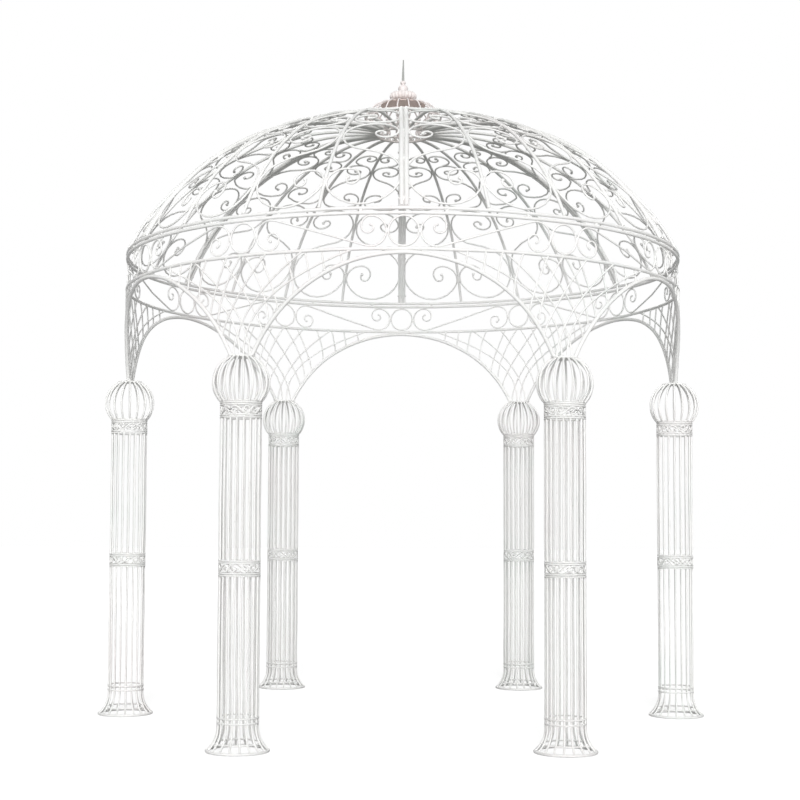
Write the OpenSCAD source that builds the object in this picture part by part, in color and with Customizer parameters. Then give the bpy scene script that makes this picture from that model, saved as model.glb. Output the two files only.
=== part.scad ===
// Open wrought iron garden pavilion: six round cage columns on a hexagon, six lattice spandrel
// panels and scrolled friezes between them, and a ribbed dome of six bolted segments under a
// small cap and spire. Millimetres, +Z up, origin on the ground at the middle of the plan.

/* [Plan and heights] */
// Radius of the circle the column axes stand on
plan_r = 2000; // [1900:10:2100]
// Height of the plate on top of each column ball
plate_z = 2420; // [2380:10:2460]
// Height of the underside of the lower frieze ring
low_ring_z = 3036; // [3020:1:3050]
// Height of the top of the double ring the dome springs from
spring_z = 3307; // [3290:1:3330]

/* [Columns] */
// Number of rods round each column
rods = 18; // [14:1:22]
// Diameter of each column rod
rod_d = 13; // [10:0.5:16]
// Radius of the circle the shaft rods stand on
cage_r = 122; // [110:1:135]
// Outer radius of the base ring on the ground
base_r = 198; // [185:1:215]
// Radius of the ball at its widest
ball_r = 180; // [165:1:195]
// Height of the middle of the scroll band at mid height
mid_band_z = 1114; // [900:2:1300]

/* [Arches and lattice] */
// Radius of each arch, measured round the drum
arch_r = 1076; // [1060:1:1100]
// Depth of the lattice bars across the panel
bar_depth = 14; // [10:1:20]
// Width of the lattice bars
lattice_w = 10; // [8:1:14]

/* [Dome] */
// Radius of the arc each dome rib is bent to
dome_arc_r = 1810; // [1770:5:1850]
// Diameter of a plain dome rib
rib_d = 22; // [18:1:26]
// Diameter of each of the two ribs bolted together at a joint
joint_d = 25; // [20:1:30]

/* [Hidden] */
iron = [0.93, 0.92, 0.90];
// foot: its top, where the rods leave the flare, its square ground ring, the toe hoop on the
// flare, and the clear height between its two upper hoops
foot_top = 216;
flare_top = 155;
base_ring_w = 18;
toe_out = 28;
toe_z = 44;
foot_gap = 17;
// column levels and hoop section
band_top = 2132;
band_h = 100;
hoop_h = 14;
hoop_t = 12;
// how far rod ends stay below the face that the next part seats on
end_gap = 2;
plate_t = 10;
plate_r = 92;
plate_edge = 12;
// square ring bar on the drum
ring_w = 22;
ring_gap = 8;
// bar of the frieze circles and S scrolls, and the bend between a scroll and its diagonal
eye_w = 14;
scroll_w = 12;
scroll_ease = 155;
// arch bar, its middle below the ring at the joint, and the level of the arch centre
bar_w = 26;
arch_drop = 11;
arch_z = low_ring_z - arch_drop - arch_r;
// how far bars run into the ring they end on
ring_lap = 4;
// distance round the drum from a column axis to a joint
half_bay = plan_r * PI / 6;
// Lattice bars, each one: distance from the column axis at the top, then at the foot, as shares of
// half a bay; drop of the foot below the ring as a share of the panel; how fast the bar steepens
lattice = [[0.71, 0.016, 1.032, 2.5], [0.403, -0.06, 1.032, 1.9], [0.167, -0.143, 0.773, 1.33],
           [-0.01, -0.181, 0.643, 1.7], [-0.114, -0.243, 0.545, 1.3], [-0.28, -0.343, 0.407, 2],
           [-0.413, -0.447, 0.286, 1.4], [-0.517, -0.537, 0.201, 1], [-0.626, -0.64, 0.11, 1]];
// dome arc centre
base_tilt = 27.2;
arc_x = plan_r - dome_arc_r * cos(base_tilt);
arc_z = spring_z - dome_arc_r * sin(base_tilt);
// half the clear gap between the two joint ribs
joint_gap = 3.5;
// half the width of a dome bay at the springing, and the bar of its scrolls
bay_w = plan_r * sin(7.5);
scroll_d = 12;
// The two tiers of scrolls in a bay, as shares of bay_w: level up the ribs and depth below the dome
// arc of their flats, start across and up the bay, heading, then arcs of radius, turn and flats
low_tier = [[0.862, 2.586], 6, [-0.395, 0.961], -131,
            [[0.134, 180, 3], [0.295, 128, 3], [0.475, 121, 3], [0.912, 205, 6], [1.946, 23, 1],
             [0.69, -233, 6], [0.287, -180, 4], [0.115, -110, 2]]];
mid_tier = [[4.639], 10, [-0.222, 3.915], -16,
            [[0.149, 188, 3], [0.341, 118, 3], [0.138, 40, 1], [1.073, 44, 2], [0.356, 75, 2],
             [1.057, 73, 2], [0.418, -192, 5], [0.26, -180, 4], [0.096, -110, 2]]];
crown_r = 210;
crown_z = arc_z + sqrt(dome_arc_r ^ 2 - (crown_r - arc_x) ^ 2);
crown_h = 52;
crown_t = 14;
// cap on its lantern: rim radius and level, rise, wall, the plain dish in its middle, its ribs and
// the width of its rim, how far its top is cut flat for the finial; then the spire
lantern_h = 166;
posts = 12;
post_d = 12;
cap_r = 250;
cap_z = crown_z + lantern_h;
cap_rise = 96;
cap_t = 8;
dish_r = 165;
cap_ribs = 20;
cap_rib_w = 10;
cap_rim_w = 14;
cap_flat = 2;
spire_h = 293;

// Turns a child drawn for the side on +X to side k of the hexagon.
module at_side(k)
  rotate([0, 0, 60 * (k - 1)]) children();

// Stands a child drawn round the Z axis on the axis of column k.
module at_column(k)
  at_side(k) translate([plan_r, 0, 0]) children();

// A flat hoop standing on level z: outer radius r, wall t, height h.
module hoop(r, t, z, h)
  translate([0, 0, z])
    difference() {
      cylinder(r = r, h = h, $fn = 96);
      translate([0, 0, -1]) cylinder(r = r - t, h = h + 2, $fn = 96);
    }

// A bar bent to part of a circle in the XZ plane: centre (cx, cz), radius r, start angle and sweep
// in degrees. The child is the section of the bar.
module bent_bar(cx, cz, r, start, sweep)
  translate([cx, 0, cz])
    rotate([90, 0, 0])
      rotate([0, 0, start])
        rotate_extrude(angle = sweep, $fn = 240)
          translate([r, 0]) children();

// A straight square rod of the cage between two levels.
module upright(z0, z1)
  translate([cage_r - rod_d / 2, -rod_d / 2, z0]) cube([rod_d, rod_d, z1 - z0]);

module foot() {
  out = base_r - base_ring_w / 2 - cage_r;
  fall = flare_top - base_ring_w / 2;
  flare = 2 * atan(out / fall);
  bend = fall / sin(flare);
  difference() {
    union() {
      for (i = [0:rods - 1])
        rotate([0, 0, 360 / rods * i]) {
          bent_bar(cage_r + bend, flare_top, bend, 180, flare) square(rod_d, center = true);
          upright(flare_top, foot_top - end_gap);
        }
      hoop(base_r, base_ring_w, 0, base_ring_w);
      hoop(cage_r + toe_out, hoop_t, toe_z, hoop_t);
      hoop(cage_r + hoop_t / 2, hoop_t, foot_top - 2 * hoop_h - foot_gap, hoop_h);
      hoop(cage_r + hoop_t / 2, hoop_t, foot_top - hoop_h, hoop_h);
    }
    translate([0, 0, -2 * rod_d]) cylinder(r = base_r + rod_d, h = 2 * rod_d);
  }
}

module shaft() {
  for (i = [0:rods - 1])
    rotate([0, 0, 360 / rods * i])
      upright(foot_top, band_top - end_gap);
  for (z = [mid_band_z - band_h / 2, mid_band_z + band_h / 2 - hoop_h, band_top - band_h, band_top - hoop_h])
    hoop(cage_r + hoop_t / 2, hoop_t, z, hoop_h);
}

module ball() {
  low = band_top + hoop_t / 2;
  rise = plate_z - plate_t / 2 - low;
  // bows of the bar outside its lower and upper ends, and the arc that joins them
  foot_bow = ball_r - rod_d / 2 - cage_r;
  head_bow = ball_r - rod_d / 2 - plate_r + plate_edge;
  k = head_bow - foot_bow;
  up = (sqrt((foot_bow * rise) ^ 2 - k * foot_bow * (head_bow * foot_bow - rise ^ 2 - head_bow ^ 2))
        - foot_bow * rise) / k;
  bend = (up ^ 2 + foot_bow ^ 2) / (2 * foot_bow);
  start = -asin(up / bend);
  sweep = asin((rise - up) / bend) - start;
  for (i = [0:rods - 1])
    rotate([0, 0, 360 / rods * i])
      bent_bar(ball_r - rod_d / 2 - bend, low + up, bend, start, sweep) square(rod_d, center = true);
  hoop(cage_r + hoop_t / 2, hoop_t, band_top, hoop_t);
  translate([0, 0, plate_z - plate_t]) cylinder(r = plate_r, h = plate_t, $fn = 72);
}

// The sheet between two levels that all bars on the drum are cut from, in short flats.
module drum_sheet(depth, z0, z1)
  translate([0, 0, z0])
    linear_extrude(z1 - z0)
      polygon([for (side = [-1, 1], i = [-6:6]) let (a = -5 * i * side, r = plan_r - side * depth / 2)
        [r * cos(a), r * sin(a)]]);

// A square bar on level z, bent round the drum from joint to joint.
module ring_bar(z)
  rotate([0, 0, -30])
    translate([0, 0, z])
      rotate_extrude(angle = 60, $fn = 240)
        translate([plan_r - ring_w / 2, 0]) square(ring_w);

// Gives a flat drawing depth along the axis of the column on +X: across is +Y, up is +Z.
module through_sheet()
  rotate([90, 0, 90])
    translate([0, 0, plan_r * 0.8])
      linear_extrude(plan_r * 0.3) children();

// Distance across the drawing of a point s millimetres round the drum.
function across(s) = plan_r * sin(s / plan_r * 180 / PI);

// A strip of width w along the points of a path.
function unit(v) = v / norm(v);
function along(path, i) = let (n = len(path) - 1)
  i == 0 ? unit(path[1] - path[0]) : i == n ? unit(path[n] - path[n - 1]) :
  unit(unit(path[i + 1] - path[i]) + unit(path[i] - path[i - 1]));
function side_of(path, w) = [for (i = [0:len(path) - 1]) let (d = along(path, i))
  path[i] + w / 2 * [-d[1], d[0]]];
module strip(path, w)
  polygon(concat(side_of(path, w), [for (i = [len(path) - 1:-1:0]) side_of(path, -w)[i]]));

// Points along an arch bar of radius r, from the joint down to below the ball plate.
function arch_path(r) = [for (i = [0:14]) let (t = i * 5)
  [across(half_bay - r * sin(t)), arch_z + r * cos(t)]];

// Points of a lattice bar, from inside the ring down to below the arch or the plate.
function bar_path(b) = [for (i = [0:4]) let (t = i / 4, fall = (low_ring_z - plate_z) * b[2] + ring_lap)
  [across(half_bay * (b[1] + (b[0] - b[1]) * (1 - t) ^ b[3])), low_ring_z + ring_lap - fall * t]];

module spandrel() {
  edge = arch_path(arch_r - bar_w / 2);
  top = across(half_bay);
  intersection() {
    through_sheet()
      offset(delta = 0.01)
        intersection() {
          for (side = [-1, 1])
            scale([side, 1]) {
              strip(arch_path(arch_r), bar_w);
              for (b = lattice) strip(bar_path(b), lattice_w);
            }
          polygon(concat([[-top, low_ring_z + ring_lap], [top, low_ring_z + ring_lap]], edge,
                         [for (i = [len(edge) - 1:-1:0]) [-edge[i][0], edge[i][1]]]));
        }
    drum_sheet(bar_depth, plate_z, low_ring_z + end_gap);
  }
  ring_bar(low_ring_z);
}

// Points of a run of arcs from point p at heading h, each arc a radius, a signed turn and the number
// of flats it is made of.
function run(p, h, arcs, i = 0) =
  i >= len(arcs) ? [p] :
  let (a = arcs[i][1], r = arcs[i][0] * sign(a), n = arcs[i][2],
       pts = [for (k = [0:n - 1]) p + r * [sin(h + a * k / n) - sin(h), cos(h) - cos(h + a * k / n)]],
       end = p + r * [sin(h + a) - sin(h), cos(h) - cos(h + a)])
  concat(pts, run(end, h + a, arcs, i + 1));

// A ring of bar in the drawing: s round the drum, level z, outer radius r.
module round_eye(s, z, r)
  difference() {
    polygon([for (t = [0:24:336]) [across(s + r * sin(t)), z + r * cos(t)]]);
    polygon([for (t = [0:24:336]) [across(s + (r - eye_w) * sin(t)), z + (r - eye_w) * cos(t)]]);
  }

// Half of an S bar, from its middle c to a ring and round into its spiral, drawn for the lower
// ring. The spiral touches both rings, so its first turn has radius r, and starts at point b.
function half_scroll(c, b, r) =
  let (o = b + [0, scroll_ease], d = c - o,
       a = atan2(d[1], d[0]) - acos(scroll_ease / norm(d)) + 90,
       t = o + scroll_ease * [sin(a), -cos(a)])
  concat([c], run(t, 180 + a, [[scroll_ease, -a, 1], [r, -180, 6], [r * 0.66, -90, 3], [r * 0.42, -190, 5]]));

module frieze() {
  z0 = low_ring_z + ring_w;
  z1 = spring_z - 2 * ring_w - ring_gap;
  mid = (z0 + z1) / 2;
  eye = (z1 - z0) / 2 + end_gap;
  turn = (z1 - z0 - scroll_w) / 2 + 1;
  c = [half_bay / 2, mid];
  half = half_scroll(c, [eye + turn + scroll_w / 2 - 1, mid - turn], turn);
  s_bar = concat([for (i = [len(half) - 1:-1:1]) half[i]], [for (p = half) 2 * c - p]);
  intersection() {
    through_sheet()
      offset(delta = 0.01)
        for (side = [-1, 1])
          scale([side, 1]) {
            round_eye(0, mid, eye);
            round_eye(half_bay, mid, eye);
            strip([for (p = s_bar) [across(p[0]), z0 + z1 - p[1]]], scroll_w);
          }
    drum_sheet(bar_depth, z0, z1 + end_gap);
  }
  ring_bar(z1);
  ring_bar(spring_z - ring_w);
  for (a = [-22.5, -7.5, 7.5, 22.5])
    rotate([0, 0, a])
      translate([plan_r, 0, z1 + ring_w + ring_gap / 2])
        cube([bar_depth - 2, bar_depth + 4, ring_gap + 2], center = true);
}

// One meridian rib from below the springing ring to inside the crown ring.
module rib(d)
  bent_bar(arc_x, arc_z, dome_arc_r, base_tilt - 1, acos((crown_r - d - arc_x) / dome_arc_r) - base_tilt + 1)
    square(d, center = true);

// Half the clear width of a dome bay at distance s up the rib, beside a rib side that stands half
// from the rib's plane.
function clear(s, half) = (arc_x + dome_arc_r * cos(base_tilt + s / dome_arc_r * 180 / PI)) * sin(7.5) - half;

// A tier's bar as points across and up the bay, drawn out so that it just reaches both ribs.
function tier_path(tier, left, right) =
  let (path = run(bay_w * tier[2], tier[3], [for (a = tier[4]) [bay_w * a[0], a[1], a[2]]]),
       middle = bay_w / 10,
       r = min([for (p = path) if (p[0] > middle) (clear(p[1], right) - scroll_w / 2 + 1) / p[0]]),
       l = min([for (p = path) if (p[0] < -middle) (clear(p[1], left) - scroll_w / 2 + 1) / -p[0]]))
  [for (p = path) [p[0] * (p[0] > 0 ? r : l), p[1]]];

// A flat piece of scroll bar on the bay at angle 0, square to the dome at distance s up the rib and
// sunk below its arc.
module flat_scroll(path, s, sunk)
  let (lean = s / dome_arc_r * 180 / PI, d = dome_arc_r - sunk)
    translate([arc_x * cos(7.5) - 0.75 * dome_arc_r * (1 - cos(7.5)), 0, arc_z])
      rotate([0, -base_tilt - lean, 0])
        rotate([90, 0, 90])
          translate([0, 0, d - scroll_d / 2])
            linear_extrude(scroll_d)
              strip([for (p = path) [p[0], d * tan(p[1] / dome_arc_r * 180 / PI - lean)]], scroll_w);

// The scrolls between two ribs. The low tier is bent once, on its long arm between two flats.
module bay_scrolls(left, right) {
  low = tier_path(low_tier, left, right);
  mid = tier_path(mid_tier, left, right);
  fold = bay_w * (low_tier[0][0] + low_tier[0][1]) / 2;
  cut = max([for (i = [1:len(low) - 1]) if (low[i - 1][1] < fold && low[i][1] >= fold) i]);
  arm = low[cut] - low[cut - 1];
  bend = low[cut - 1] + arm * (fold - low[cut - 1][1]) / arm[1];
  lap = unit(arm) * scroll_d / 2;
  flat_scroll(concat([for (i = [0:cut - 1]) low[i]], [bend + lap]), bay_w * low_tier[0][0], low_tier[1]);
  flat_scroll(concat([bend - lap], [for (i = [cut:len(low) - 1]) low[i]]), bay_w * low_tier[0][1],
              low_tier[1]);
  flat_scroll(mid, bay_w * mid_tier[0][0], mid_tier[1]);
}

module gore() {
  difference() {
    union() {
      for (a = [-15, 0, 15])
        rotate([0, 0, a]) rib(rib_d);
      for (side = [-1, 1])
        rotate([0, 0, 30 * side]) translate([0, -side * (joint_d / 2 + joint_gap), 0]) rib(joint_d);
      for (side = [0, 1])
        mirror([0, side, 0]) {
          rotate([0, 0, 22.5]) bay_scrolls(rib_d / 2, joint_d + joint_gap);
          rotate([0, 0, 7.5]) mirror([0, 1, 0]) bay_scrolls(rib_d / 2, rib_d / 2);
        }
    }
    translate([0, 0, spring_z - 200]) cylinder(r = plan_r + 200, h = 200);
    translate([0, 0, spring_z]) cylinder(r = crown_r, h = dome_arc_r, $fn = 96);
  }
}

module crown_ring_body()
  hoop(crown_r, crown_t, crown_z - crown_h / 2, crown_h);

module lantern_body() {
  low = crown_z + crown_h / 2;
  out = cap_r - crown_r;
  up = cap_z - low - post_d / 2;
  for (i = [0:posts - 1])
    rotate([0, 0, 360 / posts * i])
      translate([crown_r - crown_t / 2, 0, low + 2])
        rotate([0, atan2(out, up), 0]) cylinder(d = post_d, h = norm([out, up]) - 2, $fn = 20);
  hoop(cap_r, crown_t, cap_z - post_d, post_d);
  hoop(crown_r, crown_t, low, post_d / 1.5);
}

// Height of the cap above its rim at radius r.
function cap_up(r) = cap_rise * (1 - (r / cap_r) ^ 3);

module cap_body() {
  rings = [for (i = [0:10]) cap_r * i / 10];
  low = dish_r * sin(180 / cap_ribs) - cap_rib_w / 2;
  high = (cap_r - cap_rim_w) * sin(180 / cap_ribs) - cap_rib_w / 2;
  translate([0, 0, cap_z])
    difference() {
      rotate_extrude($fn = 96)
        polygon(concat([for (r = rings) [r, cap_up(r)]], [[cap_r, -cap_t]],
                       [for (i = [9:-1:0]) [rings[i], cap_up(rings[i]) - cap_t]]));
      translate([0, 0, -2 * cap_t]) cylinder(r = 2 * cap_r, h = 2 * cap_t);
      translate([0, 0, cap_rise - cap_flat]) cylinder(r = cap_r, h = 2 * cap_flat);
      for (i = [0:cap_ribs - 1])
        rotate([0, 0, 360 / cap_ribs * i])
          linear_extrude(cap_rise)
            polygon([[dish_r, -low], [cap_r - cap_rim_w, -high], [cap_r - cap_rim_w, high], [dish_r, low]]);
    }
}

module finial_body() {
  base = cap_z + cap_rise - cap_flat;
  rotate_extrude($fn = 64)
    polygon([[0, base], [48, base], [48, base + 8], [95, base + 14], [103, base + 40], [90, base + 66],
             [37, base + 70], [37, base + 100], [12, base + 112], [22, base + 124], [12, base + 140],
             [6, base + spire_h], [0, base + spire_h]]);
}

module foot_1() color(iron) at_column(1) foot();
module foot_2() color(iron) at_column(2) foot();
module foot_3() color(iron) at_column(3) foot();
module foot_4() color(iron) at_column(4) foot();
module foot_5() color(iron) at_column(5) foot();
module foot_6() color(iron) at_column(6) foot();
module shaft_1() color(iron) at_column(1) shaft();
module shaft_2() color(iron) at_column(2) shaft();
module shaft_3() color(iron) at_column(3) shaft();
module shaft_4() color(iron) at_column(4) shaft();
module shaft_5() color(iron) at_column(5) shaft();
module shaft_6() color(iron) at_column(6) shaft();
module ball_1() color(iron) at_column(1) ball();
module ball_2() color(iron) at_column(2) ball();
module ball_3() color(iron) at_column(3) ball();
module ball_4() color(iron) at_column(4) ball();
module ball_5() color(iron) at_column(5) ball();
module ball_6() color(iron) at_column(6) ball();
module spandrel_1() color(iron) at_side(1) spandrel();
module spandrel_2() color(iron) at_side(2) spandrel();
module spandrel_3() color(iron) at_side(3) spandrel();
module spandrel_4() color(iron) at_side(4) spandrel();
module spandrel_5() color(iron) at_side(5) spandrel();
module spandrel_6() color(iron) at_side(6) spandrel();
module frieze_1() color(iron) at_side(1) frieze();
module frieze_2() color(iron) at_side(2) frieze();
module frieze_3() color(iron) at_side(3) frieze();
module frieze_4() color(iron) at_side(4) frieze();
module frieze_5() color(iron) at_side(5) frieze();
module frieze_6() color(iron) at_side(6) frieze();
module gore_1() color(iron) at_side(1) gore();
module gore_2() color(iron) at_side(2) gore();
module gore_3() color(iron) at_side(3) gore();
module gore_4() color(iron) at_side(4) gore();
module gore_5() color(iron) at_side(5) gore();
module gore_6() color(iron) at_side(6) gore();
module crown_ring() color(iron) crown_ring_body();
module lantern() color(iron) lantern_body();
module cap() color(iron) cap_body();
module finial() color(iron) finial_body();

foot_1();
foot_2();
foot_3();
foot_4();
foot_5();
foot_6();
shaft_1();
shaft_2();
shaft_3();
shaft_4();
shaft_5();
shaft_6();
ball_1();
ball_2();
ball_3();
ball_4();
ball_5();
ball_6();
spandrel_1();
spandrel_2();
spandrel_3();
spandrel_4();
spandrel_5();
spandrel_6();
frieze_1();
frieze_2();
frieze_3();
frieze_4();
frieze_5();
frieze_6();
gore_1();
gore_2();
gore_3();
gore_4();
gore_5();
gore_6();
crown_ring();
lantern();
cap();
finial();
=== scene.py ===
import math

import bmesh
import bpy
from mathutils import Matrix, Vector, noise


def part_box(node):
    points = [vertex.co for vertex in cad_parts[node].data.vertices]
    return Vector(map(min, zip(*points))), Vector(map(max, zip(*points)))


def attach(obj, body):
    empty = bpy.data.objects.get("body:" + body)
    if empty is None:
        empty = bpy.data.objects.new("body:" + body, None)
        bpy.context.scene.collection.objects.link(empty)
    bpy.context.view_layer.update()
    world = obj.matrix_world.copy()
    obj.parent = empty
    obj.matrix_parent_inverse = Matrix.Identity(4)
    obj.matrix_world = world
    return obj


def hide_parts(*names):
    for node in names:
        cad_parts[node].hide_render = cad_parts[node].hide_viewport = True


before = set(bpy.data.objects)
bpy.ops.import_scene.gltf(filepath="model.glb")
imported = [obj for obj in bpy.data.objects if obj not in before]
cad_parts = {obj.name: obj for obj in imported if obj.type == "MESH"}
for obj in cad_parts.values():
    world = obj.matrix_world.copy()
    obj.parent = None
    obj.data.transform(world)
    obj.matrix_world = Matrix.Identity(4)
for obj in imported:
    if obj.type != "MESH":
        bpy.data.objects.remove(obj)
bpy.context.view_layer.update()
print("frame loaded", len(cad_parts), "nodes")

# levels and radii that every piece is set out from, read off the frame
footLow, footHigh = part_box("foot_1")
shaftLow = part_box("shaft_1")[0]
ballLow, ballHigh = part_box("ball_1")
drumR = (footLow.x + footHigh.x) / 2
baseR = (footHigh.x - footLow.x) / 2
footTop = shaftLow.z
bandTop = ballLow.z
plateZ = ballHigh.z
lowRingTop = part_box("spandrel_1")[1].z
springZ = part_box("frieze_1")[1].z
crownLow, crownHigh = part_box("crown_ring")
capLow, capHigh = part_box("cap")
finialLow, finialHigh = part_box("finial")
jointAngle = 30  # degrees round the drum from a column to the joint of two dome segments
halfBay = drumR * math.radians(jointAngle)
weldGap = 1e-6
# how finely bars and rings are drawn: sides of a bar, and steps round a ring
thinSides, rodSides, ribSides, barSides = 6, 8, 10, 12
ringSteps, wideRingSteps = 48, 72


def polar(r, angle, z):
    return Vector((r * math.cos(angle), r * math.sin(angle), z))


def about(angle):
    return Matrix.Rotation(math.radians(angle), 3, "Z")


def followArcs(start, heading, arcs, step=15):
    # points of a bar bent arc by arc, each a radius and a turn in degrees, left turns positive
    points = [Vector(start)]
    for radius, turn in arcs:
        r = math.copysign(radius, turn)
        count = max(2, math.ceil(abs(turn) / step))
        begin = points[-1]
        for i in range(1, count + 1):
            a, b = math.radians(heading), math.radians(heading + turn * i / count)
            chord = Vector((math.sin(b) - math.sin(a), math.cos(a) - math.cos(b)))
            points.append(begin + r * chord)
        heading += turn
    return points


def between(a, b, count):
    return [a + (b - a) * i / count for i in range(count + 1)]


def addTo(bm, part):
    bmesh.ops.recalc_face_normals(part, faces=part.faces[:])
    scratch = bpy.data.meshes.new("scratch")
    part.to_mesh(scratch)
    part.free()
    bm.from_mesh(scratch)
    bpy.data.meshes.remove(scratch)


def sweepBar(bm, path, radius, sides=rodSides):
    # a round bar whose end face is pushed along the path
    steps = [(b - a).normalized() for a, b in zip(path, path[1:])]
    headings = [steps[0]] + [(a + b).normalized() for a, b in zip(steps, steps[1:])] + [steps[-1]]
    bar = bmesh.new()
    turn = Vector((0, 0, 1)).rotation_difference(headings[0]).to_matrix().to_4x4()
    place = Matrix.Translation(path[0]) @ turn
    end = bmesh.ops.create_circle(bar, cap_ends=True, segments=sides, radius=radius, matrix=place)
    face = end["verts"][0].link_faces[0]
    for i in range(1, len(path)):
        grown = bmesh.ops.extrude_face_region(bar, geom=[face])["geom"]
        face = next(g for g in grown if isinstance(g, bmesh.types.BMFace))
        bend = headings[i - 1].rotation_difference(headings[i]).to_matrix().to_4x4()
        move = Matrix.Translation(path[i]) @ bend @ Matrix.Translation(-path[i - 1])
        bmesh.ops.transform(bar, matrix=move, verts=face.verts[:])
    addTo(bm, bar)


def spinFull(bm, part, steps):
    # turns an outline all the way round the Z axis
    bmesh.ops.spin(
        part, geom=part.verts[:] + part.edges[:], cent=(0, 0, 0), axis=(0, 0, 1),
        angle=math.tau, steps=steps, use_merge=True,
    )
    bmesh.ops.remove_doubles(part, verts=part.verts[:], dist=weldGap)
    addTo(bm, part)


def ringBar(bm, r, z, radius, steps=ringSteps, sides=rodSides):
    part = bmesh.new()
    place = Matrix.Translation((r, 0, z)) @ Matrix.Rotation(math.pi / 2, 4, "X")
    bmesh.ops.create_circle(part, segments=sides, radius=radius, matrix=place)
    spinFull(bm, part, steps)


def lathe(bm, profile, steps=ringSteps):
    # a turned shape: the profile is radius and level, from the axis or back to its own start
    part = bmesh.new()
    rim = [part.verts.new((r, 0, z)) for r, z in profile]
    for a, b in zip(rim, rim[1:]):
        part.edges.new((a, b))
    spinFull(bm, part, steps)


def knob(bm, place, radius):
    part = bmesh.new()
    bmesh.ops.create_icosphere(
        part, subdivisions=2, radius=radius, matrix=Matrix.Translation(place)
    )
    addTo(bm, part)


def block(bm, matrix, size, soft):
    # a small forged pad with eased edges
    part = bmesh.new()
    bmesh.ops.create_cube(part, size=1, matrix=Matrix.Diagonal((*size, 1)))
    bmesh.ops.bevel(
        part, geom=part.edges[:], offset=soft, affect="EDGES", segments=2, profile=0.5, material=-1
    )
    bmesh.ops.transform(part, matrix=matrix, verts=part.verts[:])
    addTo(bm, part)


def boltHead(bm, matrix, radius, crownShare, tall):
    part = bmesh.new()
    bmesh.ops.create_cone(
        part, cap_ends=True, segments=6, radius1=radius, radius2=radius * crownShare, depth=tall
    )
    bmesh.ops.transform(part, matrix=matrix, verts=part.verts[:])
    addTo(bm, part)


def turned(bm, count, start=0.0):
    # repeats what bm holds round the Z axis
    bmesh.ops.rotate(bm, cent=(0, 0, 0), matrix=about(start), verts=bm.verts[:])
    bmesh.ops.spin(
        bm, geom=bm.verts[:] + bm.edges[:] + bm.faces[:], cent=(0, 0, 0), axis=(0, 0, 1),
        angle=math.tau * (count - 1) / count, steps=count - 1, use_duplicate=True,
    )


# the hand of the smith: how far the iron strays from true, and over what lengths
hand = {
    "sway": 0.0024,
    "swayScale": 3.1,
    "dent": 0.0008,
    "dentScale": 11,
    # it starts above the ground and ends at the tip, each over this height
    "settle": 0.3,
    "tip": 0.12,
    # how far apart the noise is read for the three axes
    "apart": (9.3, -1.5, 7.9),
    # edges sharper than this many degrees stay crisp
    "crease": 62,
    # painted shade: the colour is darkened near the crown and on undersides, where shade falls;
    # from which level, the share on undersides lower down, and the share on faces that don't look
    # down
    "paintedShadeFrom": 3.7,
    "paintedShadeLow": 0.1,
    "paintedShadeAll": 0.34,
}


def clamped(value):
    return min(1.0, max(0.0, value))


def wander(place):
    # smooth noise, one value for each axis
    apart = Vector(hand["apart"])
    return Vector((noise.noise(place), noise.noise(place + apart), noise.noise(place - apart)))


def waver(place):
    low = clamped(place.z / hand["settle"])
    high = clamped((finialHigh.z - place.z) / hand["tip"])
    sway = wander(place * hand["swayScale"]) * hand["sway"]
    return (sway + wander(place * hand["dentScale"]) * hand["dent"]) * low * high


def finishMesh(bm, name, shaded=1.0):
    # stores at each vertex how much painted shade darkens its colour, and closes the mesh
    bm.normal_update()
    under = bm.verts.layers.float.new("under")
    # painted shade: faces that look down are darkened, more so towards the crown ring, and the
    # other faces a little near it
    for vertex in bm.verts:
        near = clamped((vertex.co.z - hand["paintedShadeFrom"]) / (crownLow.z - hand["paintedShadeFrom"]))
        down = max(0.0, -vertex.normal.z)
        share = hand["paintedShadeLow"] + (1 - hand["paintedShadeLow"]) * near
        vertex[under] = shaded * (down * share + (1 - down) * hand["paintedShadeAll"] * near)
    for edge in bm.edges:
        if len(edge.link_faces) == 2 and edge.calc_face_angle(0) > math.radians(hand["crease"]):
            edge.smooth = False
    for face in bm.faces:
        face.smooth = True
    mesh = bpy.data.meshes.new(name)
    bm.to_mesh(mesh)
    bm.free()
    return mesh


def addPiece(name, mesh, material, *nodes):
    for vertex in mesh.vertices:
        vertex.co += waver(vertex.co)
    mesh.materials.clear()
    mesh.materials.append(material)
    piece = bpy.data.objects.new(name, mesh)
    bpy.context.scene.collection.objects.link(piece)
    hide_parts(*nodes)
    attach(piece, "root")
    return piece


def sixTimes(name, bm, material, node, outward=0.0, twists=(0,) * 6):
    # the same piece on each side of the hexagon; twists are degrees over the height of the piece
    mesh = finishMesh(bm, name)
    levels = [v.co.z for v in mesh.vertices]
    low, high = min(levels), max(levels)
    for k, twist in enumerate(twists):
        copy = mesh.copy()
        for vertex in copy.vertices:
            vertex.co.rotate(about(twist * (vertex.co.z - low) / (high - low)))
        turn = Matrix.Rotation(math.radians(2 * jointAngle * k), 4, "Z")
        copy.transform(turn @ Matrix.Translation((outward, 0, 0)))
        addPiece(f"{name}_{k + 1}", copy, material, f"{node}_{k + 1}")
    bpy.data.meshes.remove(mesh)
    print(name, "done")


class Value:
    # a socket that can be added, multiplied and so on
    def __init__(self, graph, socket):
        self.graph = graph
        self.socket = socket

    def math(self, operation, first, second):
        return self.graph.node("ShaderNodeMath", {"operation": operation}, {0: first, 1: second})

    def __add__(self, other):
        return self.math("ADD", self, other)

    def __radd__(self, other):
        return self.math("ADD", other, self)

    def __mul__(self, other):
        return self.math("MULTIPLY", self, other)

    def __rmul__(self, other):
        return self.math("MULTIPLY", other, self)

    def __or__(self, other):
        return self.math("MAXIMUM", self, other)

    def __ror__(self, other):
        return self.math("MAXIMUM", other, self)


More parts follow.
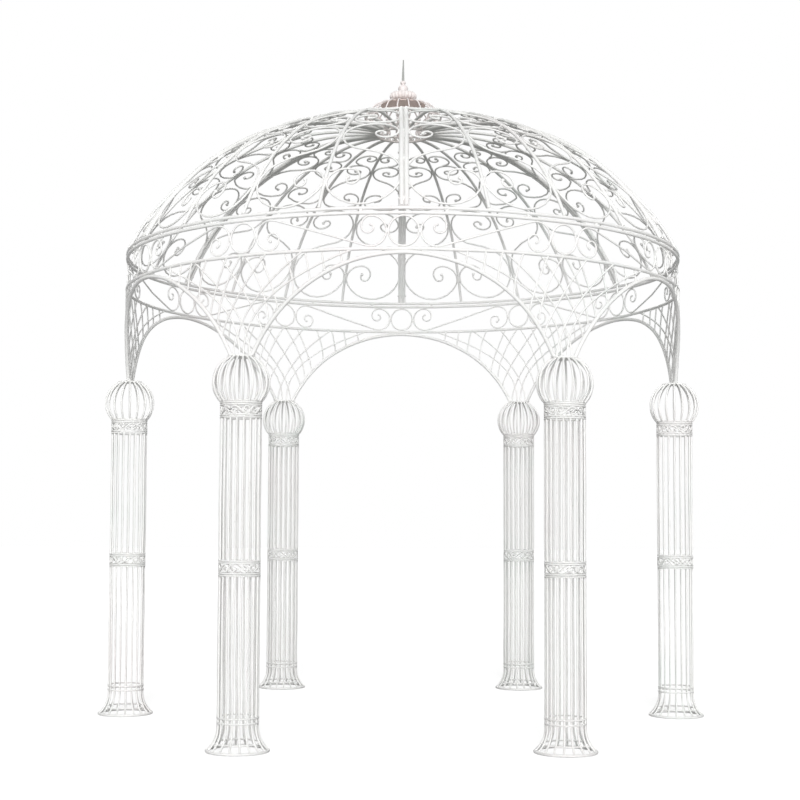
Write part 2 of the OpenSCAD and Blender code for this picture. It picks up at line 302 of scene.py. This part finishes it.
class Graph:
    # the nodes of a material or of the world
    def __init__(self, owner):
        owner.use_nodes = True
        self.owner = owner
        self.tree = owner.node_tree
        self.tree.nodes.clear()

    def node(self, kind, settings=None, values=None, output=0):
        made = self.tree.nodes.new(kind)
        for key, value in (settings or {}).items():
            if key == "stops":
                while len(made.color_ramp.elements) < len(value):
                    made.color_ramp.elements.new(0.5)
                for element, (position, colour) in zip(made.color_ramp.elements, value):
                    element.position = position
                    element.color = (*colour, 1)
            else:
                setattr(made, key, value)
        for key, value in (values or {}).items():
            if isinstance(value, Value):
                self.tree.links.new(value.socket, made.inputs[key])
            else:
                made.inputs[key].default_value = value
        return Value(self, made.outputs[output]) if made.outputs else None

    def noise(self, place, scale, detail, rough=0.55):
        values = {"Vector": place, "Scale": scale, "Detail": detail, "Roughness": rough}
        return self.node("ShaderNodeTexNoise", {}, values)

    def patches(self, place, mark):
        # noise kept only where it is high
        scale, detail, rough, low, high = mark
        settings = {"stops": [(low, (0, 0, 0)), (high, (1, 1, 1))]}
        noisy = self.noise(place, scale, detail, rough)
        return self.node("ShaderNodeValToRGB", settings, {"Fac": noisy})

    def mix(self, share, first, second):
        return self.node("ShaderNodeMix", {"data_type": "RGBA"}, {0: share, 6: first, 7: second}, 2)

    def show(self, shader):
        kind = "World" if isinstance(self.owner, bpy.types.World) else "Material"
        self.node("ShaderNodeOutput" + kind, {}, {"Surface": shader})
        return self.owner


ironLook = {
    "paint": (0.88, 0.88, 0.865, 1),
    "chalk": (0.90, 0.90, 0.89, 1),
    "moss": (0.78, 0.83, 0.80, 1),
    "blush": (0.85, 0.80, 0.80, 1),
    "grime": (0.50, 0.47, 0.43, 1),
    # the colour of the painted shade on undersides and near the crown
    "shade": (0.40, 0.41, 0.38, 1),
    # patches of each kind: scale, detail and roughness of the noise, where they begin and are full
    "chalkMark": (2.3, 4, 0.55, 0.42, 0.62),
    "mossMark": (1.7, 2, 0.55, 0.55, 0.75),
    "blushMark": (1.3, 2, 0.4, 0.56, 0.78),
    "speckMark": (60, 2, 0.55, 0.62, 0.76),
    "streakMark": (17, 3, 0.55, 0.52, 0.74),
    # how strongly each shows
    "mossShare": 0.6,
    "blushShare": 0.5,
    "speckShare": 0.24,
    "streakShare": 0.10,
    "shadeShare": 0.72,
    "rough": 0.48,
    "streakRough": 0.18,
    # fine grain of brushed paint: scale and detail, strength, depth
    "grain": (240, 2),
    "grainStrength": 0.25,
    "grainDepth": 0.0006,
}


def paintIron(name, look, tint=None, tintShare=0.0):
    iron = Graph(bpy.data.materials.new(name))
    place = iron.node("ShaderNodeTexCoord", {}, {}, "Object")
    specks = iron.patches(place, look["speckMark"])
    streaks = iron.patches(place, look["streakMark"])
    base = iron.mix(iron.patches(place, look["chalkMark"]), look["paint"], look["chalk"])
    moss = iron.patches(place, look["mossMark"]) * look["mossShare"]
    base = iron.mix(moss, base, look["moss"])
    blush = iron.patches(place, look["blushMark"]) * look["blushShare"]
    base = iron.mix(blush, base, look["blush"])
    if tint:
        base = iron.mix(tintShare, base, tint)
    # painted shade: the colour is mixed towards the shade colour by the painted shade stored at
    # each vertex
    under = iron.node("ShaderNodeAttribute", {"attribute_name": "under"}, {}, "Fac")
    base = iron.mix(under * look["shadeShare"], base, look["shade"])
    dirt = specks * look["speckShare"] + streaks * look["streakShare"]
    bump = iron.node("ShaderNodeBump", {}, {
        "Height": iron.noise(place, *look["grain"]),
        "Strength": look["grainStrength"],
        "Distance": look["grainDepth"],
    })
    shader = iron.node("ShaderNodeBsdfPrincipled", {}, {
        "Base Color": iron.mix(dirt, base, look["grime"]),
        "Roughness": look["rough"] + streaks * look["streakRough"],
        "Normal": bump,
    })
    return iron.show(shader)


# each iron: name, tint over the paint and how much of it
whiteIron = paintIron("whiteIron", ironLook)
rosyIron = paintIron("rosyIron", ironLook, (0.78, 0.68, 0.67, 1), 0.55)
# the cap dish is tinted a pinkish brown, darker than the white paint
brownIron = paintIron("brownIron", ironLook, (0.80, 0.64, 0.58, 1), 0.95)
bareIron = paintIron("bareIron", ironLook, (0.20, 0.21, 0.20, 1), 0.85)
print("materials done")

column = {
    # eighteen rods round a cage
    "rods": 18,
    "rodR": 0.0067,
    "cageR": 0.1225,
    # the foot: where its rods begin to flare, the base ring, the ring over it and the pair above
    "flareTop": 0.155,
    "flareSteps": 9,
    "footTuck": 0.004,
    "baseRingR": 0.009,
    "toeRing": (0.1445, 0.054),
    "toeRingSteps": 60,
    "hoopR": 0.0055,
    "flareRings": [0.1785, 0.209],
    # the two bands: rings in pairs with scrolls between
    "bandRingR": 0.0052,
    "bandRingOut": 0.0035,
    "bandPair": 0.0132,
    "ringClear": 0.0002,
    "midBand": [1.064, 1.164],
    "topBand": [2.032, 2.132],
    "shaftTuck": 0.006,
    "shaftSteps": 8,
    "scrolls": 6,
    "scrollR": 0.0052,
    "scrollOut": 0.002,
    "scrollBite": 0.0008,
    "scrollEase": 0.03,
    # each turn of a scroll: share of its first radius, degrees
    "scrollTurns": [(1, -185), (0.66, -105), (0.42, -110)],
    # the ball: bowed rods from the band to a flat plate
    "ballR": 0.180,
    "ballSteps": 14,
    "ballFoot": 0.002,
    "ballRingUp": 0.0065,
    "plateR": 0.086,
    "plateT": 0.011,
    "plateSteps": 6,
    "rodIn": 0.006,
    # degrees each shaft is turned from its foot to its ball, and the share of it for the ball
    "twists": [0.6, -0.8, 1.4, 2.4, 4.5, -0.5],
    "ballTwist": 0.25,
}


def halfScroll(centre, foot, ease, turns):
    # half of an S bar: straight from its middle, eased on to the level of foot, then its turns
    hub = foot + Vector((0, ease))
    gap = centre - hub
    a = math.degrees(math.atan2(gap.y, gap.x) - math.acos(ease / gap.length)) + 90
    leave = hub + ease * Vector((math.sin(math.radians(a)), -math.cos(math.radians(a))))
    return [centre] + followArcs(leave, 180 + a, [(ease, -a)] + turns)


def wholeScroll(centre, foot, ease, turns):
    # an S bar, from one eye to the other
    half = halfScroll(centre, foot, ease, turns)
    return half[:0:-1] + [2 * centre - p for p in half]


def scaledTurns(r, turns):
    return [(r * share, turn) for share, turn in turns]


def addRods(bm, path, c):
    rod = bmesh.new()
    sweepBar(rod, path, c["rodR"])
    turned(rod, c["rods"])
    addTo(bm, rod)


def makeFoot(bm, c):
    out = baseR - c["baseRingR"] - c["cageR"]
    fall = c["flareTop"] - c["baseRingR"]
    lean = 2 * math.atan(out / fall)
    bend = fall / math.sin(lean)
    path = []
    for i in range(c["flareSteps"], -1, -1):
        tilt = lean * i / c["flareSteps"]
        r = c["cageR"] + bend * (1 - math.cos(tilt))
        path.append(Vector((r, 0, c["flareTop"] - bend * math.sin(tilt))))
    addRods(bm, path + [Vector((c["cageR"], 0, footTop - c["footTuck"]))], c)
    base = c["baseRingR"]
    ringBar(bm, baseR - base, base, base, wideRingSteps, ribSides)
    ringBar(bm, *c["toeRing"], c["hoopR"], c["toeRingSteps"])
    for z in c["flareRings"]:
        ringBar(bm, c["cageR"] + c["bandRingOut"], z, c["hoopR"])


def makeBand(bm, c, low, high):
    edge = c["bandRingR"] + c["ringClear"]
    for z in (low + edge, low + edge + c["bandPair"], high - edge - c["bandPair"], high - edge):
        ringBar(bm, c["cageR"] + c["bandRingOut"], z, c["bandRingR"])
    clear = high - low - 2 * (2 * edge + c["bandPair"])
    pitch = math.tau * c["cageR"] / c["scrolls"]
    r = clear / 2 - c["scrollR"] + c["scrollBite"]
    foot = Vector((-(pitch / 2 - r - c["scrollR"]), -r))
    flat = wholeScroll(Vector((0, 0)), foot, c["scrollEase"], scaledTurns(r, c["scrollTurns"]))
    mid = (low + high) / 2
    out = c["cageR"] + c["scrollOut"]
    for k in range(c["scrolls"]):
        # every other scroll is mirrored
        side = 1 if k % 2 else -1
        at = math.tau * (k + 0.5) / c["scrolls"]
        path = [polar(out, at + side * p.x / c["cageR"], mid + p.y) for p in flat]
        sweepBar(bm, path, c["scrollR"])


def makeShaft(bm, c):
    step = c["bandPair"] / 2
    lower = (footTop - c["shaftTuck"], c["midBand"][0] + step)
    upper = (c["midBand"][1] - step, c["topBand"][0] + step)
    for low, high in (lower, upper):
        foot, head = Vector((c["cageR"], 0, low)), Vector((c["cageR"], 0, high))
        addRods(bm, between(foot, head, c["shaftSteps"]), c)
    makeBand(bm, c, *c["midBand"])
    makeBand(bm, c, *c["topBand"])


def makeBall(bm, c):
    low = Vector((c["cageR"], 0, bandTop + c["ballFoot"]))
    high = Vector((c["plateR"] - c["rodIn"], 0, plateZ - c["plateT"]))
    rise = high.z - low.z
    # circle through both ends whose widest point is the ball radius
    widest = c["ballR"] - c["rodR"]
    low2, high2 = widest - low.x, widest - high.x
    k = high2 - low2
    root = math.sqrt((low2 * rise) ** 2 - k * low2 * (high2 * low2 - rise**2 - high2**2))
    up = (root - low2 * rise) / k
    bend = (up**2 + low2**2) / (2 * low2)
    begin = -math.asin(up / bend)
    sweep = math.asin((rise - up) / bend) - begin
    hub = Vector((widest - bend, 0, low.z + up))
    angles = [begin + sweep * i / c["ballSteps"] for i in range(c["ballSteps"] + 1)]
    addRods(bm, [hub + Vector((bend * math.cos(a), 0, bend * math.sin(a))) for a in angles], c)
    ringBar(bm, c["cageR"] + c["bandRingOut"], bandTop + c["ballRingUp"], c["hoopR"])
    # the plate has a round edge
    half = c["plateT"] / 2
    edge = [(0, plateZ)]
    for i in range(c["plateSteps"] + 1):
        tilt = math.pi * (0.5 - i / c["plateSteps"])
        r = c["plateR"] - half * (1 - math.cos(tilt))
        edge.append((r, plateZ - half * (1 - math.sin(tilt))))
    lathe(bm, edge + [(0, plateZ - c["plateT"])])


for name, make, node, share in (
    ("columnFoot", makeFoot, "foot", 0),
    ("columnShaft", makeShaft, "shaft", 1),
    ("columnBall", makeBall, "ball", column["ballTwist"]),
):
    bm = bmesh.new()
    make(bm, column)
    sixTimes(name, bm, whiteIron, node, drumR, [twist * share for twist in column["twists"]])

arch = {
    "radius": 1.076,
    "drop": 0.011,
    "barR": 0.013,
    "barSteps": 26,
    "ringR": 0.011,
    "latticeR": 0.0057,
    "weave": 0.0044,
    # each lattice bar: distance from the column axis at its top and at its foot, as shares of
    # half a bay; how far the foot is below the ring, as a share of the panel; how fast the bar
    # steepens
    "lattice": [
        (0.71, 0.016, 1.032, 2.5), (0.403, -0.06, 1.032, 1.9), (0.167, -0.143, 0.773, 1.33),
        (-0.01, -0.181, 0.643, 1.7), (-0.114, -0.243, 0.545, 1.3), (-0.28, -0.343, 0.407, 2.0),
        (-0.413, -0.447, 0.286, 1.4), (-0.517, -0.537, 0.201, 1.0), (-0.626, -0.64, 0.11, 1.0),
    ],
    # a lattice bar is followed in small steps until it runs this far into the arch bar
    "latticeSteps": 120,
    "latticeKeep": 8,
    "bite": 0.6,
    "shoe": (0.034, 0.03, 0.006),
    "shoeEase": 0.0015,
}


def onDrum(s, z, out=0.0):
    # s runs round the drum from the column axis
    return polar(drumR + out, s / drumR, z)


def ringArc(bm, z, radius, steps=28):
    ends = math.radians(jointAngle)
    path = [polar(drumR, ends * (2 * i / steps - 1), z) for i in range(steps + 1)]
    sweepBar(bm, path, radius, barSides)


def makeArch(bm, c):
    ringLow = lowRingTop - 2 * c["ringR"]
    centreZ = ringLow - c["drop"] - c["radius"]
    full = math.acos((plateZ - centreZ) / c["radius"])
    for side in (-1, 1):
        path = []
        for i in range(c["barSteps"] + 1):
            tilt = full * i / c["barSteps"]
            s, z = halfBay - c["radius"] * math.sin(tilt), centreZ + c["radius"] * math.cos(tilt)
            path.append(onDrum(side * s, z))
        sweepBar(bm, path, c["barR"], barSides)
        # the shoe that bolts the foot of the arch to the plate
        foot = Matrix.Translation((path[-1].x, path[-1].y, plateZ + c["shoe"][2] / 2))
        turn = about(math.degrees(math.atan2(path[-1].y, path[-1].x))).to_4x4()
        block(bm, foot @ turn, c["shoe"], c["shoeEase"])
    keep = c["radius"] + c["barR"] * c["bite"]

    def inside(s, z):
        clear = min(math.hypot(s - halfBay, z - centreZ), math.hypot(s + halfBay, z - centreZ))
        return clear > keep and z > plateZ

    top = ringLow + c["ringR"]
    for start, foot, share, power in c["lattice"]:
        spots = []
        for i in range(c["latticeSteps"] + 1):
            t = i / c["latticeSteps"]
            s = halfBay * (foot + (start - foot) * (1 - t) ** power)
            z = top - (top - ringLow + share * (ringLow - plateZ)) * t
            if not inside(s, z):
                break
            spots.append((s, z))
        spots = spots[:-1:c["latticeKeep"]] + [spots[-1]]
        for side in (-1, 1):
            path = [onDrum(side * s, z, side * c["weave"]) for s, z in spots]
            sweepBar(bm, path, c["latticeR"])
    ringArc(bm, top, c["ringR"])


bm = bmesh.new()
makeArch(bm, arch)
sixTimes("archPanel", bm, whiteIron, "spandrel")

frieze = {
    # the double ring over the frieze
    "ringR": 0.011,
    "ringGap": 0.008,
    "spacers": [-22.5, -7.5, 7.5, 22.5],
    "spacer": (0.013, 0.02),
    "spacerMore": 0.006,
    "spacerEase": 0.002,
    # a circle over each column and each joint, and long S bars between
    "circleR": 0.0068,
    "circleSteps": 16,
    "scrollR": 0.0062,
    "bite": 0.001,
    "ease": 0.155,
    "scrollTurns": [(1, -180), (0.66, -100), (0.42, -130), (0.24, -120)],
    "eye": 0.0088,
    "collar": (0.013, 0.024, 0.03),
    "collarEase": 0.003,
}


def makeFrieze(bm, c):
    low = lowRingTop
    high = springZ - 4 * c["ringR"] - c["ringGap"]
    mid = (low + high) / 2
    ringR = (high - low) / 2 - c["circleR"] + c["bite"]
    # a whole circle in the middle, half of one at each joint: place, where it begins, half turns
    for s, begin, halves in ((-halfBay, 0, 1), (0, 0, 2), (halfBay, math.pi, 1)):
        steps = c["circleSteps"]
        angles = [begin + math.pi * i / steps for i in range(halves * steps + 1)]
        path = [onDrum(s + ringR * math.sin(a), mid + ringR * math.cos(a)) for a in angles]
        sweepBar(bm, path, c["circleR"])
    r = (high - low) / 2 - c["scrollR"] + c["bite"]
    foot = Vector((ringR + c["circleR"] + r + c["scrollR"] - c["bite"], mid - r))
    turns = scaledTurns(r, c["scrollTurns"])
    flat = wholeScroll(Vector((halfBay / 2, mid)), foot, c["ease"], turns)
    for side in (-1, 1):
        path = [onDrum(side * p.x, 2 * mid - p.y) for p in flat]
        sweepBar(bm, path, c["scrollR"])
        for place in (path[0], path[-1]):
            knob(bm, place, c["eye"])
        for s in (ringR + c["circleR"], halfBay - ringR - c["circleR"]):
            turn = about(math.degrees(side * s / drumR)).to_4x4()
            block(bm, turn @ Matrix.Translation((drumR, 0, mid)), c["collar"], c["collarEase"])
    for z in (high + c["ringR"], springZ - c["ringR"]):
        ringArc(bm, z, c["ringR"])
    middle = Matrix.Translation((drumR, 0, high + 2 * c["ringR"] + c["ringGap"] / 2))
    for angle in c["spacers"]:
        size = (*c["spacer"], c["ringGap"] + c["spacerMore"])
        block(bm, about(angle).to_4x4() @ middle, size, c["spacerEase"])


bm = bmesh.new()
makeFrieze(bm, frieze)
sixTimes("scrollFrieze", bm, whiteIron, "frieze")

dome = {
    "arcR": 1.810,
    # single ribs, in degrees from the middle of the segment
    "ribs": [-15, 0, 15],
    "ribR": 0.011,
    "ribSteps": 28,
    "ribBite": 0.007,
    # the doubled rib at each joint, the thin seam between its two bars, and the bolts through it
    "jointR": 0.0148,
    "jointOff": 0.0165,
    "seamR": 0.0034,
    "seamClear": 0.0002,
    "bolts": [0.06, 0.42, 0.78, 1.14, 1.5, 1.8],
    "boltSunk": 0.002,
    "pad": (0.016, 0.03),
    "padEase": 0.002,
    "headR": 0.0075,
    "headCrown": 0.86,
    "headTall": 0.009,
    "headOut": 0.003,
    # two bays in each half: degrees to the middle of the bay, and which way round its scrolls are
    "halfBayTurn": 7.5,
    "bays": [(7.5, -1), (22.5, 1)],
    "scrollR": 0.0068,
    "eye": 0.0125,
    # a tier with more arcs than this curls at both ends
    "oneCurl": 6,
    # each tier of scrolls in a bay: start across and up the bay, heading, then its arcs
    "tiers": [
        ((-0.103, 0.251), -131, [
            (0.035, 180), (0.077, 128), (0.124, 121), (0.238, 205), (0.508, 23), (0.180, -233),
            (0.075, -182), (0.030, -200),
        ]),
        ((-0.058, 1.022), -16, [
            (0.039, 188), (0.089, 118), (0.036, 40), (0.280, 44), (0.093, 75), (0.276, 73),
            (0.109, -192), (0.068, -191), (0.025, -200),
        ]),
        ((-0.020, 1.635), -46, [
            (0.032, -193), (0.056, -89), (0.061, -66), (0.115, -62), (0.051, -43), (0.094, -36),
        ]),
    ],
}
crownR = (crownHigh.x - crownLow.x) / 2
crownZ = (crownLow.z + crownHigh.z) / 2
# the ribs are arcs from the ring they spring from to the crown ring
foot, head = Vector((drumR, springZ)), Vector((crownR, crownZ))
chord = head - foot
inward = Vector((-chord.y, chord.x)).normalized()
domeX, domeZ = (foot + head) / 2 + inward * math.sqrt(dome["arcR"] ** 2 - (chord.length / 2) ** 2)
domeTilt = math.asin((springZ - domeZ) / dome["arcR"])


def domeAngle(s):
    return domeTilt + s / dome["arcR"]


def onRib(s, sunk=0.0):
    r = dome["arcR"] - sunk
    return Vector((domeX + r * math.cos(domeAngle(s)), 0, domeZ + r * math.sin(domeAngle(s))))


def onBay(x, s):
    # a bay is flat from rib to rib, so x runs along its chord
    spot = onRib(s)
    return Vector((spot.x * math.cos(math.radians(dome["halfBayTurn"])), x, spot.z))


def boltSeam(bm, c, side, s):
    # a pad and a bolt head on one side of a joint, s along the rib
    turn = about(jointAngle * side).to_4x4()
    lean = Matrix.Rotation(-domeAngle(s), 4, "Y")
    place = turn @ Matrix.Translation(onRib(s, c["boltSunk"])) @ lean
    wide, tall = c["pad"]
    pad = place @ Matrix.Translation((0, -side * c["jointOff"] / 2, 0))
    block(bm, pad, (wide, c["jointOff"], tall), c["padEase"])
    out = c["jointOff"] + c["jointR"] + c["headOut"]
    head = place @ Matrix.Translation((0, -side * out, 0))
    across = Matrix.Rotation(math.pi / 2 * side, 4, "X")
    boltHead(bm, head @ across, c["headR"], c["headCrown"], c["headTall"])


def makeDome(bm, c):
    full = c["arcR"] * (math.acos((crownR - c["ribBite"] - domeX) / c["arcR"]) - domeTilt)
    path = [onRib(full * i / c["ribSteps"]) for i in range(c["ribSteps"] + 1)]
    for angle in c["ribs"]:
        sweepBar(bm, [about(angle) @ p for p in path], c["ribR"], ribSides)
    for side in (-1, 1):
        turn = about(jointAngle * side)
        off = Vector((0, -side * c["jointOff"], 0))
        sweepBar(bm, [turn @ (p + off) for p in path], c["jointR"], ribSides)
        beside = Vector((-c["seamR"], -side * (c["seamR"] + c["seamClear"]), 0))
        sweepBar(bm, [turn @ (p + beside) for p in path], c["seamR"], thinSides)
        for s in c["bolts"]:
            boltSeam(bm, c, side, s)
    for start, heading, arcs in c["tiers"]:
        flat = followArcs(start, heading, arcs)
        for centre, flip in c["bays"]:
            for side in (-1, 1):
                spots = [about(side * centre) @ onBay(side * flip * p.x, p.y) for p in flat]
                sweepBar(bm, spots, c["scrollR"])
                knob(bm, spots[0], c["eye"])
                if len(arcs) > c["oneCurl"]:
                    knob(bm, spots[-1], c["eye"])


bm = bmesh.new()
makeDome(bm, dome)
sixTimes("domeSegment", bm, whiteIron, "gore")

crown = {
    # two rings with a row of curls between
    "ringR": 0.0085,
    "curls": 12,
    "curlR": 0.0056,
    "curlIn": 0.008,
    "curlMore": 0.008,
    "curlClear": 0.002,
    "curlEase": 0.03,
    "curlTurns": [(1, -185), (0.6, -150)],
    # how much painted shade darkens this piece
    "shaded": 1.0,
}
lantern = {
    # scroll brackets stand on the crown ring and carry the rim of the cap
    "brackets": 18,
    "bracketR": 0.0064,
    "foot": (-0.006, 0.003),
    "head": (-0.012, -0.008),
    "curl": 0.23,
    "turns": [(1, -190), (0.6, -160)],
    "rim": (-0.008, -0.006),
    "rimR": 0.006,
    # how much painted shade darkens this piece
    "shaded": 0.4,
}
cap = {
    "ribs": 20,
    "ribR": 0.0052,
    "ribFrom": 0.05,
    "ribTo": 0.006,
    "ribSunk": 0.004,
    "ribSteps": 18,
    "rimR": 0.0075,
    # the dressed cap reaches wider and lower than the plain one
    "rimOut": 0.038,
    "rimDrop": 0.060,
    "topDrop": 0.036,
    # how square its shoulder is
    "power": 5,
    # how much painted shade darkens this piece
    "shaded": 0.3,
    # a plain iron dish closes the middle
    "dishR": 0.165,
    "dishSunk": 0.009,
    "dishT": 0.003,
    "dishSteps": 8,
}
capR = (capHigh.x - capLow.x) / 2 + cap["rimOut"]
rimZ = capLow.z - cap["rimDrop"]
capTop = finialLow.z - cap["topDrop"]


def makeCrown(bm, c):
    for z in (crownLow.z + c["ringR"], crownHigh.z - c["ringR"]):
        ringBar(bm, crownR - c["ringR"], z, c["ringR"], wideRingSteps, ribSides)
    out = crownR - c["curlIn"]
    pitch = math.tau * out / c["curls"]
    r = (crownHigh.z - crownLow.z) / 2 - 2 * c["ringR"] + c["curlMore"]
    foot = Vector((-(pitch / 2 - r - c["curlClear"]), -r))
    flat = wholeScroll(Vector((0, 0)), foot, c["curlEase"], scaledTurns(r, c["curlTurns"]))
    for k in range(c["curls"]):
        side = 1 if k % 2 else -1
        at = math.tau * (k + 0.5) / c["curls"]
        path = [polar(out, at + side * p.x / out, crownZ + p.y) for p in flat]
        sweepBar(bm, path, c["curlR"], thinSides)


def makeLantern(bm, c):
    low = Vector((crownR, crownHigh.z)) + Vector(c["foot"])
    high = Vector((capR, rimZ)) + Vector(c["head"])
    up = high - low
    r = up.length * c["curl"]
    foot = Vector((r - up.length / 2, -r))
    flat = wholeScroll(Vector((0, 0)), foot, r, scaledTurns(r, c["turns"]))
    tilt = Matrix.Rotation(math.atan2(up.y, up.x), 2)
    spots = [(low + high) / 2 + tilt @ p for p in flat]
    bracket = bmesh.new()
    sweepBar(bracket, [Vector((q.x, 0, q.y)) for q in spots], c["bracketR"])
    turned(bracket, c["brackets"])
    addTo(bm, bracket)
    ringBar(bm, capR + c["rim"][0], rimZ + c["rim"][1], c["rimR"], wideRingSteps)


def onCap(r):
    return rimZ + (capTop - rimZ) * (1 - (r / capR) ** cap["power"])


def makeCap(bm, c):
    across = capR - c["ribTo"] - c["ribFrom"]
    tilts = [math.pi / 2 * i / c["ribSteps"] for i in range(c["ribSteps"] + 1)]
    radii = [c["ribFrom"] + across * math.sin(t) for t in tilts]
    rib = bmesh.new()
    sweepBar(rib, [Vector((r, 0, onCap(r) - c["ribSunk"])) for r in radii], c["ribR"])
    turned(rib, c["ribs"], 180 / c["ribs"])
    addTo(bm, rib)
    ringBar(bm, capR - c["rimR"], rimZ + c["rimR"], c["rimR"], wideRingSteps)


for name, make, settings, node in (
    ("crownRing", makeCrown, crown, "crown_ring"),
    ("lantern", makeLantern, lantern, "lantern"),
    ("ribbedCap", makeCap, cap, "cap"),
):
    bm = bmesh.new()
    make(bm, settings)
    addPiece(name, finishMesh(bm, name, settings["shaded"]), rosyIron, node)

bm = bmesh.new()
radii = [cap["dishR"] * i / cap["dishSteps"] for i in range(cap["dishSteps"] + 1)]
shell = [(r, onCap(r) - cap["dishSunk"]) for r in radii]
lathe(bm, shell + [(r, z - cap["dishT"]) for r, z in shell[::-1]])
addPiece("capDish", finishMesh(bm, "capDish", 0), brownIron, "cap")

finial = {
    "lift": 0.016,
    # turned shapes: radius and level above the cap
    "cup": [
        (0.0, -0.022), (0.05, -0.022), (0.057, -0.014), (0.057, -0.006), (0.051, 0.0),
        (0.05, 0.01), (0.034, 0.03), (0.031, 0.07), (0.036, 0.086), (0.037, 0.1),
        (0.031, 0.113), (0.015, 0.122), (0.011, 0.126), (0.019, 0.131), (0.022, 0.138),
        (0.019, 0.146), (0.011, 0.152), (0.0, 0.153),
    ],
    "cupSteps": 32,
    "basket": [
        (0.048, 0.008), (0.078, 0.005), (0.095, 0.015), (0.102, 0.034), (0.097, 0.052),
        (0.082, 0.062), (0.062, 0.064), (0.062, 0.058), (0.08, 0.055), (0.09, 0.046),
        (0.094, 0.034), (0.088, 0.02), (0.075, 0.013), (0.048, 0.013), (0.048, 0.008),
    ],
    # the basket is fluted outside this radius
    "flutes": 20,
    "fluteSteps": 8,
    "groove": 0.009,
    "grooveFrom": 0.06,
    # how much painted shade darkens this piece
    "shaded": 0.15,
    # the spire: radius against the share of the way from the ball to the tip
    "spireFrom": 0.148,
    "spire": [
        (0.0, 0.0), (0.0105, 0.01), (0.0088, 0.24), (0.0064, 0.6), (0.0042, 0.99), (0.0, 1.0),
    ],
    "spireSteps": 16,
    "tip": 0.0055,
}
finialZ = capTop + finial["lift"]


def makeFinial(bm, c):
    lathe(bm, [(r, finialZ + z) for r, z in c["cup"]], c["cupSteps"])
    basket = bmesh.new()
    lathe(basket, [(r, finialZ + z) for r, z in c["basket"]], c["flutes"] * c["fluteSteps"])
    for vertex in basket.verts:
        r = vertex.co.xy.length
        across = abs(math.cos(math.atan2(vertex.co.y, vertex.co.x) * c["flutes"] / 2))
        if r > c["grooveFrom"]:
            vertex.co.xy *= 1 - c["groove"] * (1 - across) / r
    addTo(bm, basket)


bm = bmesh.new()
makeFinial(bm, finial)
addPiece("finial", finishMesh(bm, "finial", finial["shaded"]), rosyIron, "finial")

bm = bmesh.new()
foot, head = finialZ + finial["spireFrom"], finialHigh.z - finial["tip"]
outline = [(r, foot + (head - foot) * share) for r, share in finial["spire"]]
lathe(bm, outline, finial["spireSteps"])
knob(bm, Vector((0, 0, head)), finial["tip"])
addPiece("spire", finishMesh(bm, "spire"), bareIron, "finial")
print("crown done")

studio = {
    "floorSize": 60,
    # the floor as the camera sees it, its own glow, and the floor as the iron sees it
    "floor": 0.80,
    "glow": 0.58,
    "bounce": 0.56,
    "world": 0.23,
    # each lamp: compass angle it shines from, height above the horizon, strength, softness;
    # all but the strength in degrees
    "lamps": {
        "keyLamp": (-88, 26, 1.56, 20),
        "frontLamp": (-92, 2, 1.95, 26),
        "sideLamp": (10, 25, 0.22, 40),
        "backLamp": (96, 25, 0.75, 40),
    },
}


def grey(level):
    return (level, level, level, 1)


ground = Graph(bpy.data.materials.new("paleFloor"))
seenByCamera = ground.node("ShaderNodeLightPath", {}, {}, 0)
lit = ground.node("ShaderNodeBsdfDiffuse", {}, {"Color": grey(studio["floor"])})
glow = ground.node("ShaderNodeEmission", {}, {"Color": grey(1), "Strength": studio["glow"]})
bright = ground.node("ShaderNodeAddShader", {}, {0: lit, 1: glow})
shaded = ground.node("ShaderNodeBsdfDiffuse", {}, {"Color": grey(studio["bounce"])})
both = ground.node("ShaderNodeMixShader", {}, {0: seenByCamera, 1: shaded, 2: bright})
paleFloor = ground.show(both)
bm = bmesh.new()
bmesh.ops.create_grid(bm, x_segments=1, y_segments=1, size=studio["floorSize"])
floorMesh = bpy.data.meshes.new("floor")
bm.to_mesh(floorMesh)
bm.free()
floorMesh.materials.append(paleFloor)
floor = bpy.data.objects.new("floor", floorMesh)
bpy.context.scene.collection.objects.link(floor)

sky = Graph(bpy.data.worlds.new("studio"))
direct, glossy, through = (
    sky.node("ShaderNodeLightPath", {}, {}, name)
    for name in ("Is Camera Ray", "Is Glossy Ray", "Is Transmission Ray")
)
soft = sky.node("ShaderNodeBackground", {}, {"Color": grey(1), "Strength": studio["world"]})
white = sky.node("ShaderNodeBackground", {}, {"Color": grey(1), "Strength": 1.0})
mixed = sky.node("ShaderNodeMixShader", {}, {0: direct | glossy | through, 1: soft, 2: white})
bpy.context.scene.world = sky.show(mixed)

for name, (compass, height, strength, softness) in studio["lamps"].items():
    lamp = bpy.data.lights.new(name, "SUN")
    lamp.energy = strength
    lamp.angle = math.radians(softness)
    made = bpy.data.objects.new(name, lamp)
    up = math.radians(height)
    shine = -polar(math.cos(up), math.radians(compass), math.sin(up))
    made.rotation_euler = shine.to_track_quat("-Z", "Y").to_euler()
    bpy.context.scene.collection.objects.link(made)

# angles in radians, lens and sensor in millimetres, the shift as a share of the width
view = {
    "place": (-0.037, -10.845, 1.416),
    "pitch": 0.0590,
    "yaw": 0.0021,
    "roll": 0.0040,
    "lens": 66.591,
    "sensor": 36,
    "shift": 0.039875,
}
camera = bpy.data.cameras.new("camera")
camera.sensor_width = view["sensor"]
camera.lens = view["lens"]
camera.shift_y = view["shift"]
cameraPiece = bpy.data.objects.new("camera", camera)
yaw = Matrix.Rotation(-view["yaw"], 4, "Z")
pitch = Matrix.Rotation(math.pi / 2 + view["pitch"], 4, "X")
roll = Matrix.Rotation(view["roll"], 4, "Z")
cameraPiece.matrix_world = Matrix.Translation(view["place"]) @ yaw @ pitch @ roll
bpy.context.scene.collection.objects.link(cameraPiece)
bpy.context.scene.camera = cameraPiece
bpy.context.scene.view_settings.view_transform = "Standard"
